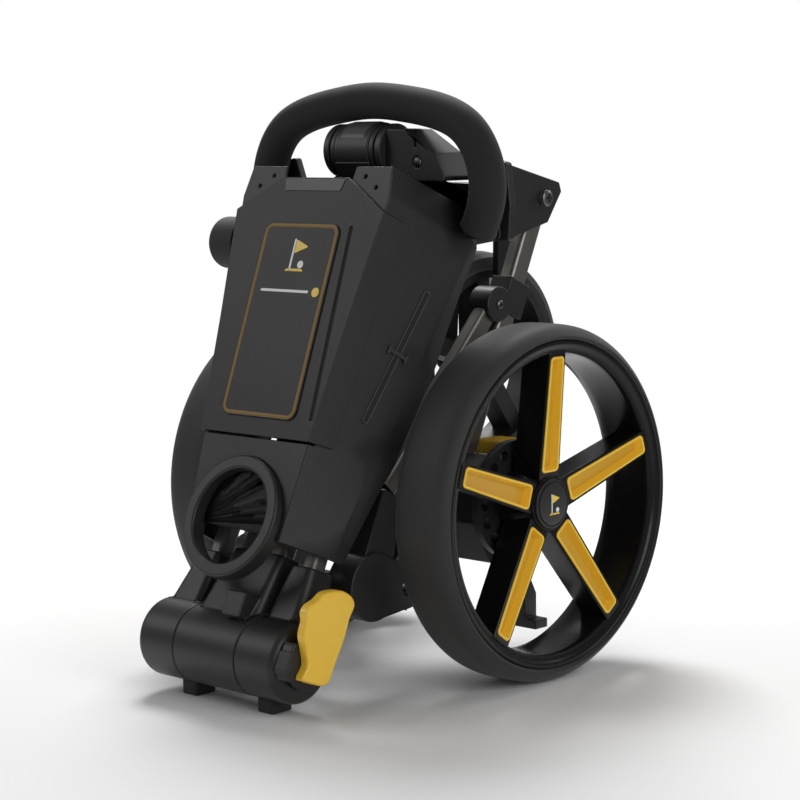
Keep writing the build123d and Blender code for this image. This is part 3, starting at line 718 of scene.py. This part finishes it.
def spokeBody(work):
    w = rearWheel
    low, high = w["hubRadius"] - 5, w["bore"] + 3
    border = w["border"]
    loops = [spokeLoop(-inset, depth, low, high, 2.0) for inset, depth in
             [(-3.2, 30.0), (-2.2, 24.0), (-0.8, 10.0), (0.0, 3.0), (0.0, 0.7)]]
    loops.append(spokeLoop(0.7, 0.0, low, high, 2.0))
    pocketLow, pocketHigh = w["hubRadius"] + 1.5, w["bore"] - 1.5
    loops.append(spokeLoop(border, 0.0, pocketLow - border, pocketHigh + border, 5.0))
    loops.append(spokeLoop(border, 1.0, pocketLow - border, pocketHigh + border, 5.0))
    loops.append(spokeLoop(border + 1.0, w["pocketDepth"] + 1.5, pocketLow - border, pocketHigh + border,
                           5.0))
    stacked(work, loops)


def spokePocket(work):
    w = rearWheel
    border, lip = w["border"], w["lipWidth"]
    low, high = w["hubRadius"] + 1.5 - border, w["bore"] - 1.5 + border
    depth = w["pocketDepth"]
    loops = [spokeLoop(border + 0.9, depth + 1.2, low, high, 5.0),
             spokeLoop(border + 0.15, 0.9, low, high, 5.0),
             spokeLoop(border + 0.15, -0.1, low, high, 5.0), spokeLoop(border + 0.6, -0.7, low, high, 5.0),
             spokeLoop(border + lip - 0.4, -0.7, low, high, 5.0),
             spokeLoop(border + lip, -0.2, low, high, 5.0),
             spokeLoop(border + lip + 1.6, depth - 0.8, low, high, 5.5),
             spokeLoop(border + lip + 2.4, depth, low, high, 5.5)]
    stacked(work, loops)


def spokeFloor(work):
    w = rearWheel
    border, lip = w["border"], w["lipWidth"]
    low, high = w["hubRadius"] + 1.5 - border, w["bore"] - 1.5 + border
    edge = border + lip + 1.2
    loops = [spokeLoop(edge, w["pocketDepth"] + 0.3, low, high, 5.5),
             spokeLoop(edge, w["pocketDepth"] - 0.9, low, high, 5.5),
             spokeLoop(edge + 0.9, w["pocketDepth"] - 1.3, low, high, 5.5)]
    stacked(work, loops)


def wheelPiece(name, side, place, maker, finish, count=0, start=0.0, sharp=35.0):
    # maker fills a bmesh about the axle; count repeats it round the axle
    work = bmesh.new()
    maker(work)
    piece = fromBmesh(work, name, finish)
    if count:
        polar.run(piece, Count=count, Start=start, Material=finishes[finish])
    flip = Matrix.Scale(-1, 4, Vector((1, 0, 0))) if side < 0 else Matrix.Identity(4)
    piece.data.transform(Matrix.Translation((0, place.y, place.z)) @ flip)
    if side < 0:
        piece.data.flip_normals()
    return smoothed(piece, sharp)


def rearTyre(work):
    w = rearWheel
    turned(work, tyreProfile(w["inner"], w["outer"], w["radius"], w["rimRadius"], w["shoulderDrop"],
                             w["squareness"]), 160)


def rearRim(work):
    turned(work, rimProfile(), 160)
    w = rearWheel
    hub = [(112, 15), (112, 23), (114, 26), (126, 26), (140, w["hubRadius"]), (146.5, w["hubRadius"] - 0.5),
           (148.5, w["hubRadius"] - 2), (148.5, 10), (146, 8.5), (113, 8.5)]
    turned(work, hub, 96)


def hubCap(work):
    r = rearWheel["capRadius"]
    turned(work, [(148.4, 8.0), (148.4, r), (149.6, r), (150.3, r - 0.6), (150.5, r - 1.6), (149.7, r - 2.0),
                  (149.7, r - 2.8), (150.8, r - 3.2), (151.6, r - 6), (152.0, 6), (152.0, 0.2),
                  (148.6, 0.2)], 96)


for side, tag in ((1, "right"), (-1, "left")):
    body = tag + "_wheel"
    tyre = wheelPiece("rearTyre." + tag, side, axle, rearTyre, "tyre", sharp=50)
    finished(tyre, body, "tyre", "rear_tyre_" + tag)
    rim = wheelPiece("rearRim." + tag, side, axle, rearRim, "gloss")
    finished(rim, body, "gloss_rim", "rear_rim_" + tag)
    arms = wheelPiece("spokes." + tag, side, axle, spokeBody, "gloss", rearWheel["spokes"],
                      rearWheel["firstSpoke"], 30)
    finished(arms, body, "gloss_rim")
    pockets = wheelPiece("spokePockets." + tag, side, axle, spokePocket, "spokeYellow", rearWheel["spokes"],
                         rearWheel["firstSpoke"], 30)
    finished(pockets, body, "yellow_plastic", "spoke_inlays_" + tag)
    # the pocket floors are the spoke yellow darkened: painted shade in the recesses
    floors = wheelPiece("pocketFloors." + tag, side, axle, spokeFloor, "paintedShadeYellow", rearWheel["spokes"],
                        rearWheel["firstSpoke"], 30)
    finished(floors, body, "yellow_plastic")
    cap = wheelPiece("hubCap." + tag, side, axle, hubCap, "moulded")
    finished(cap, body, "black_plastic", "hub_cap_" + tag)
print("rear wheels ready")

# simple softened copies of the frame's own nodes

softList = [
    # node, piece, body, slot, finish, edge width
    ("hinge_barrel_right", "hingeBarrel.right", "lower_mast", "black_plastic", "moulded", 1.6),
    ("hinge_barrel_left", "hingeBarrel.left", "lower_mast", "black_plastic", "moulded", 1.6),
    ("hinge_barrel_middle", "hingeBarrel.middle", "upper_mast", "black_plastic", "moulded", 1.2),
    ("barrel_caps", "barrelCaps", "lower_mast", "black_plastic", "moulded", 1.0),
    ("hinge_feet", "hingeFeet", "lower_mast", "rubber", "rubber", 1.0),
    ("hinge_plates", "hingePlates", "lower_mast", "black_plastic", "moulded", 0.9),
    ("handle_hub", "handleHub", "upper_mast", "black_plastic", "moulded", 1.2),
    ("handle_links", "handleLinks", "handle", "black_plastic", "moulded", 1.2),
    ("lock_housing", "lockHousing", "handle", "black_plastic", "moulded", 1.2),
    ("tilt_discs", "tiltDiscs", "handle", "black_plastic", "moulded", 0.8),
    ("dock_knob", "dockKnob", "upper_mast", "rubber", "rubber", 1.0),
    ("console_shell", "consoleShell", "upper_mast", "console_plastic", "console", 1.0),
    ("lid_pad", "lidPad", "lid", "console_plastic", "lid", 0.6),
    ("drinks_hoop", "drinksHoop", "upper_mast", "console_plastic", "console", 2.2),
    ("axle_blocks", "axleBlocks", "chassis", "black_plastic", "moulded", 1.4),
    ("rail_clamps", "railClamps", "chassis", "black_plastic", "moulded", 1.2),
    ("rest_housings", "restHousings", "chassis", "black_plastic", "moulded", 1.2),
    ("stand_plate", "standPlate", "chassis", "black_plastic", "moulded", 0.8),
    ("front_fork", "frontFork", "fork", "black_plastic", "moulded", 1.0),
    ("brake_pedal", "brakePedal", "pedal", "yellow_plastic", "yellow", 0.6),
]
for node, name, body, slot, finish, width in softList:
    softened(node, name, body, slot, finish, width)
print("softened pieces ready:", len(softList))

# what sits on the lid: bronze bead, groove with a near-black sheet of painted shadow in its floor, finger tab
# and a plain golf badge, in the front wall's frame

lidTrim = {
    "padHalf": 42.0, "padLow": 178.0, "padHigh": 339.0, "padCorner": 9.0,
    "beadWidth": 3.2, "beadHeight": 0.8,
    "grooveTop": (52.5, 336.0), "grooveBottom": (58.5, 182.0), "grooveWidth": 3.8, "grooveDepth": 1.3,
    "tabLow": 366.5, "tabHigh": 376.5, "tabHalf": 31.0, "tabFlare": 3.0,
    "stripeFrom": -30.0, "stripeTo": 24.0, "dotAt": 32.0, "dotRadius": 4.0,
    "badgeMiddle": (2.0, 312.0), "badgeHeight": 27.0, "stripeLow": 281.0, "stripeHeight": 2.2,
}


def capsule(start, end, width):
    # four corners round a line; rounding them by nearly half the width makes a capsule
    along = (Vector(end) - Vector(start)).normalized()
    side = Vector((along.y, -along.x)) * width / 2
    low, high = Vector(start) - along * width / 2, Vector(end) + along * width / 2
    return [tuple(low - side), tuple(low + side), tuple(high + side), tuple(high - side)]


def circle(x, z, radius, count):
    turns = [2 * math.pi * index / count for index in range(count)]
    return [(x + radius * math.cos(turn), z + radius * math.sin(turn)) for turn in turns]


def flagBadge(name, height, middle, depth, place, body, thick=0.45):
    # a golf flag and a ball, both plain pictograms drawn in thirtieths of the badge's height
    x, z = middle
    unit = height / 30
    shapes = {
        "pole": ([(-7, -15), (-5, -15), (-5, 15), (-7, 15)], 0.8, "white"),
        "flag": ([(-4.4, 1.5), (12, 8), (-4.4, 14.5)], 0.8, "badgeYellow"),
        "green": ([(-12, -15), (12, -15), (9, -12.6), (-9, -12.6)], 0.5, "badgeYellow"),
        "ball": (circle(6.5, -8.6, 3.6, 12), 0.8, "white"),
    }
    for label, (outline, radius, finish) in shapes.items():
        points = [(x + u * unit, z + v * unit) for u, v in outline]
        piece = platePiece(name + "." + label, points, radius * unit, depth - thick, depth, finish, place,
                           0.15)
        finished(piece, body, "yellow_plastic")


def trimLid():
    t = lidTrim
    lidFace, padFace = console["lidFace"], console["padFace"]
    grooveFloor = lidFace + t["grooveDepth"]
    cutter = platePiece("grooveCutter", capsule(t["grooveBottom"], t["grooveTop"], t["grooveWidth"]),
                        t["grooveWidth"] * 0.48, lidFace - 3, grooveFloor, "groove", front, 0.1)
    softened("lid", "lidPanel", "lid", "console_plastic", "lid", 0.5, cutters=[cutter])
    # a thin near-black sheet on the groove floor: painted shadow
    grooveShadeSheet = platePiece("lidGrooveShade", capsule(t["grooveBottom"], t["grooveTop"], t["grooveWidth"] - 0.3),
                       t["grooveWidth"] * 0.44, grooveFloor - 0.25, grooveFloor, "groove", front, 0.1)
    finished(grooveShadeSheet, "lid", "console_plastic")
    half, low, high = t["padHalf"], t["padLow"], t["padHigh"]
    pad = [(-half, low), (half, low), (half, high), (-half, high)]
    bead = beadPiece("bronzeBead", inset(pad, 0.7), t["padCorner"] - 0.7, t["beadWidth"], padFace + 0.1,
                     t["beadHeight"], "bronze", front)
    finished(bead, "lid", "console_plastic")
    narrow, wide = t["tabHalf"], t["tabHalf"] + t["tabFlare"]
    tab = [(-narrow, t["tabLow"]), (narrow, t["tabLow"]), (wide, t["tabHigh"]), (-wide, t["tabHigh"])]
    finished(platePiece("fingerTab", tab, 1.6, lidFace - 0.7, lidFace + 0.4, "tab", front), "lid",
             "console_plastic")
    flagBadge("lidBadge", t["badgeHeight"], t["badgeMiddle"], padFace + 0.05, front, "lid")
    low, high = t["stripeLow"], t["stripeLow"] + t["stripeHeight"]
    stripe = [(t["stripeFrom"], low), (t["stripeTo"], low), (t["stripeTo"], high), (t["stripeFrom"], high)]
    dot = circle(t["dotAt"], (low + high) / 2, t["dotRadius"], 14)
    for name, outline, corner, finish, slot in (("lidStripe", stripe, 1.0, "white", "console_plastic"),
                                                ("lidDot", dot, 0.9, "badgeYellow", "yellow_plastic")):
        finished(platePiece(name, outline, corner, padFace - 0.4, padFace + 0.05, finish, front, 0.15),
                 "lid", slot)


trimLid()
print("lid ready")


# the strap channel on each side wall of the console, with its cross clip and a near-black bed of painted
# shadow

sideChannel = {
    "top": (88.5, 6.5, 307.0), "bottom": (74.6, -5.5, 196.5), "forward": (63.0, -46.0, 196.5),
    "width": 6.4, "rim": 1.3, "rimHeight": 0.9, "clipAt": 0.52, "clipLong": 17.0, "clipTall": 7.0,
    "earHalf": 1.4,
}


def trimSide(side):
    c = sideChannel
    tag = "right" if side > 0 else "left"
    bottom, top, forward = (Vector(c[key]) for key in ("bottom", "top", "forward"))
    up = (top - bottom).normalized()
    out = (forward - bottom).cross(up).normalized()
    if out.x < 0:
        out = -out
    across = up.cross(out)
    # local x runs across the channel, -y looks out of the wall, z runs up the channel
    local = Matrix((across, -out, up)).transposed().to_4x4()
    place = Matrix.Translation(bottom * mm) @ local
    if side < 0:
        place = Matrix.Scale(-1, 4, Vector((1, 0, 0))) @ place
    place = mast @ place
    length = (top - bottom).length
    outer = capsule((0, 0), (0, length), c["width"])
    bead = beadPiece("channelRim." + tag, outer, c["width"] * 0.49, c["rim"], 0.15, c["rimHeight"], "tab",
                     place)
    # the channel's bed is a near-black sheet: painted shadow
    bed = platePiece("channelShadeBed." + tag, inset(outer, c["rim"] * 0.6), c["width"] * 0.36, -0.12, 0.2,
                     "groove", place, 0.05)
    middle = length * c["clipAt"]
    long, tall = c["clipLong"] / 2, c["clipTall"] / 2

    def box(centre, halfWide, halfTall):
        return [(centre - halfWide, middle - halfTall), (centre + halfWide, middle - halfTall),
                (centre + halfWide, middle + halfTall), (centre - halfWide, middle + halfTall)]

    pieces = [bead, bed, platePiece("channelClip." + tag, box(0, long, tall * 0.45), 1.0, -1.3, 0.2,
                                    "moulded", place, 0.4)]
    for end, label in ((-1, ".rear"), (1, ".front")):
        ear = box(end * long, c["earHalf"], tall)
        pieces.append(platePiece("clipEar." + tag + label, ear, 0.9, -1.6, 0.2, "moulded", place, 0.4))
    for piece in pieces:
        finished(piece, "upper_mast", "console_plastic")


for side in (1, -1):
    trimSide(side)
print("side channels ready")


# cross-head screws where the frame has its plain studs

screwSizes = {
    "headHeight": 2.2, "housingRadius": 4.2,
    "housingSpot": (66, -13.2, -9),  # from the tilt pin
}


def screwSpots(node):
    # each stud's seat and facing, with its radius in millimetres
    spots = []
    for low, high in islandsOf(node):
        out = 1 if low.x > 0 else -1
        seat = (high.x if out > 0 else low.x) - out * screwSizes["headHeight"] * mm
        place = (seat, (low.y + high.y) / 2, (low.z + high.z) / 2)
        spots.append(((place, (out, 0, 0)), (high.z - low.z) / 2 / mm))
    return spots


for node, body in (("chassis_screws", "chassis"), ("plate_screws", "lower_mast")):
    spots = screwSpots(node)
    sizes = sorted({round(radius) for spot, radius in spots})
    for count, size in enumerate(sizes):
        chosen = [spot for spot, radius in spots if round(radius) == size]
        replaced = [node] if count == 0 else []
        screwSet("crossScrews." + body + ".size%d" % size, chosen, body, "screw", size,
                 screwSizes["headHeight"], *replaced)
lockScrew = knuckle + Vector(screwSizes["housingSpot"]) * mm
screwSet("crossScrews.lock", [(lockScrew, (0, -1, 0))], "handle", "screw", screwSizes["housingRadius"],
         screwSizes["headHeight"])
print("screws ready")


# the yellow fold latch with its wavy outline, and the D-shaped boss on the barrel's end

latch = {
    # (y, z) in the leaning frame, clockwise from the heel
    "outline": [(-17.5, -13.2), (-16.0, -2.0), (-22.0, 8.0), (-29.0, 18.0), (-30.4, 28.5), (-33.6, 35.0),
                (-31.6, 41.0), (-25.0, 47.5), (-19.0, 55.0), (-4.0, 60.8), (9.0, 60.0), (15.2, 54.0),
                (14.0, 43.0), (14.6, 27.0), (12.8, 6.4), (11.6, -8.0), (5.0, -12.6), (-9.0, -13.6)],
    "inner": 93.2, "outer": 101.0, "edge": 2.0, "hubRadius": 13.5, "hubInner": 84.6,
    "bossOutline": [(-26.0, -15.5), (-28.4, 9.0), (-21.0, 11.0), (-13.0, 6.0), (-10.5, -2.0), (-13.0, -10.5),
                    (-18.5, -15.8)],
    "bossInner": 82.0, "bossOuter": 92.4,
}


def wavy(corners, steps=5):
    # a smooth closed curve through the corners
    points, count = [], len(corners)
    for index in range(count):
        a, b, c, d = (Vector(corners[(index + shift) % count]) for shift in (-1, 0, 1, 2))
        for step in range(steps):
            t = step / steps
            points.append(tuple(0.5 * (2 * b + (c - a) * t + (2 * a - 5 * b + 4 * c - d) * t * t +
                                       (3 * b - a - 3 * c + d) * t ** 3)))
    return points


# local -y looks out of the trolley's right side
sidewise = mast @ Matrix(((0, -1, 0), (1, 0, 0), (0, 0, 1))).to_4x4()
lever = platePiece("latchLever", wavy(latch["outline"]), 0.1, -latch["outer"], -latch["inner"], "yellow",
                   sidewise, latch["edge"])
finished(lever, "lever", "yellow_plastic", "latch_lever")
hubRing = circle(0, 0, latch["hubRadius"], 36)
finished(platePiece("latchHub", hubRing, 0.1, -latch["inner"] - 0.5, -latch["hubInner"], "yellow", sidewise),
         "lever", "yellow_plastic")
boss = platePiece("barrelBoss", wavy(latch["bossOutline"]), 0.1, -latch["bossOuter"], -latch["bossInner"],
                  "moulded", sidewise, 1.6)
finished(boss, "lower_mast", "black_plastic")
print("latch ready")


# the pale cover on top of the tilt drum, and small badges on the hub caps

drumCover = {"radius": 23.0, "half": 13.0, "thick": 0.9, "from": -35.0, "to": 62.0, "steps": 24}


def coverDrum():
    d = drumCover
    work = bmesh.new()
    loops = []
    for step in range(d["steps"] + 1):
        share = step / d["steps"]
        angle = math.radians(d["from"] + (d["to"] - d["from"]) * share)
        rise = math.sin(math.pi * share) ** 0.3 * d["thick"] if 0 < share < 1 else 0.0
        loop = []
        for x, r in ((-d["half"], d["radius"] - 0.6), (d["half"], d["radius"] - 0.6),
                     (d["half"] - 0.4, d["radius"] + rise), (-d["half"] + 0.4, d["radius"] + rise)):
            loop.append(Vector((x, -r * math.sin(angle), r * math.cos(angle))) * mm + knuckle)
        loops.append(loop)
    stacked(work, loops)
    finished(smoothed(fromBmesh(work, "drumCover", "paleCap"), 40), "upper_mast", "black_plastic")


coverDrum()
hubBadge = {"face": 151.9, "height": 17.0}
for side, tag in ((1, "right"), (-1, "left")):
    # local -y looks outwards along the axle
    turn = Matrix.Rotation(math.radians(90 * side), 4, "Z")
    place = Matrix.Translation((side * hubBadge["face"] * mm, axle.y, axle.z)) @ turn
    flagBadge("hubBadge." + tag, hubBadge["height"], (0.0, 0.0), 0.0, place, tag + "_wheel", 0.3)
print("badges ready")

# nodes that stay as they are, each in its own finish

keptFinishes = {
    "rail": ["chassis_rails", "brace_tubes", "axle_tube"],
    "tube": ["fork_tubes", "spine_tube", "bag_rest_tube"],
    "steel": ["axle_shaft", "pivot_shaft", "hinge_pin", "front_axle_bolt", "lid_hinge_pin", "dock_stem",
              "tilt_pin", "pedal_pin", "brake_pin_right", "brake_pin_left", "rear_bearings_right",
              "rear_bearings_left", "front_bearings", "handle_core"],
    "moulded": ["storage_tray", "brake_ring_right", "brake_ring_left", "pedal_bracket", "front_rim"],
    "tyre": ["front_tyre"],
    "foam": ["handle_grip"],
}
for finish, names in keptFinishes.items():
    for name in names:
        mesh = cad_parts[name].data
        mesh.materials.clear()
        mesh.materials.append(finishes[finish])


def layFloor():
    mesh = bpy.data.meshes.new("floorMesh")
    half = studio["floorSize"] / 2
    corners = [(-half, -half, 0), (half, -half, 0), (half, half, 0), (-half, half, 0)]
    mesh.from_pydata(corners, [], [(0, 1, 2, 3)])
    paper = Finish("paperFloor")
    paper.set(Base_Color=paper.blend(paper.noise(3.0), shade(studio["floorColour"], 0.99),
                                     shade(studio["floorColour"], 1.01)), Roughness=0.9)
    distance = paper.node("ShaderNodeVectorMath", {"operation": "LENGTH"}, {0: paper.place})["Value"]
    fade = paper.node("ShaderNodeMapRange", {"interpolation_type": "SMOOTHSTEP"},
                      {"Value": distance, "From Min": studio["fadeFrom"],
                       "From Max": studio["fadeTo"]})["Result"]
    clear = paper.node("ShaderNodeBsdfTransparent")["BSDF"]
    mix = paper.node("ShaderNodeMixShader", {},
                     {0: fade, 1: Wire(paper, paper.surface.outputs["BSDF"]), 2: clear})
    output = [node for node in paper.tree.nodes if node.type == "OUTPUT_MATERIAL"][0]
    paper.tree.links.new(mix["Shader"].output, output.inputs["Surface"])
    floor = bpy.data.objects.new("floor", mesh)
    mesh.materials.append(paper.material)
    bpy.context.scene.collection.objects.link(floor)


layFloor()
